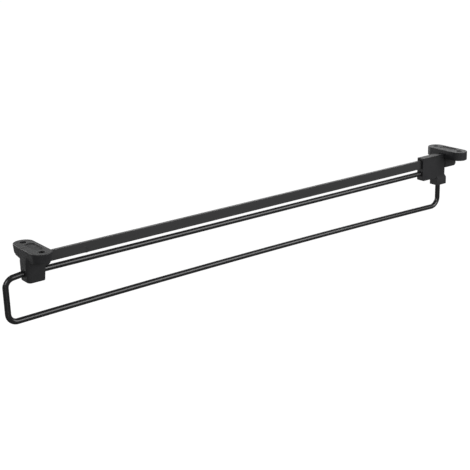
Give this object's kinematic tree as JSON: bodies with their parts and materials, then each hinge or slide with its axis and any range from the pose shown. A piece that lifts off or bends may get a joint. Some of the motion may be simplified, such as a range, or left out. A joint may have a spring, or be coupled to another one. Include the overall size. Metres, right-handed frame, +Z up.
{
  "type": "pull-out clothes rail",
  "caption": "Pull-out clothes rail for under a shelf: a bent wire loop on a carriage that slides along a flat guide bar between screwed brackets.",
  "frame": {"origin": "midway between the front bracket's two screw holes, on its mounting face", "axes": "+Z up into the shelf, +Y along the rail from the user to the back of the wardrobe, +X across the rail"},
  "size_m": [0.0478, 0.5181, 0.0613],
  "materials": {
    "moulded_plastic": "fine moulded grain",
    "coated_bar": "satin powder coat",
    "coated_wire": "semi-gloss coat",
    "dark_pin": "blackened steel"
  },
  "bodies": {
    "fixed_frame": {"front_bracket": "moulded_plastic", "rear_bracket": "moulded_plastic", "guide_bar": "coated_bar", "front_bar_pin": "dark_pin", "rear_bar_pin": "dark_pin"},
    "pull_out": {"carriage": "moulded_plastic", "wire_loop": "coated_wire", "leg_pin": "dark_pin"}
  },
  "joints": [
    {"name": "rail_slide", "type": "slide", "parent": "fixed_frame", "child": "pull_out", "axis": [0, -1, 0], "range_m": [0, 0.392]}
  ]
}
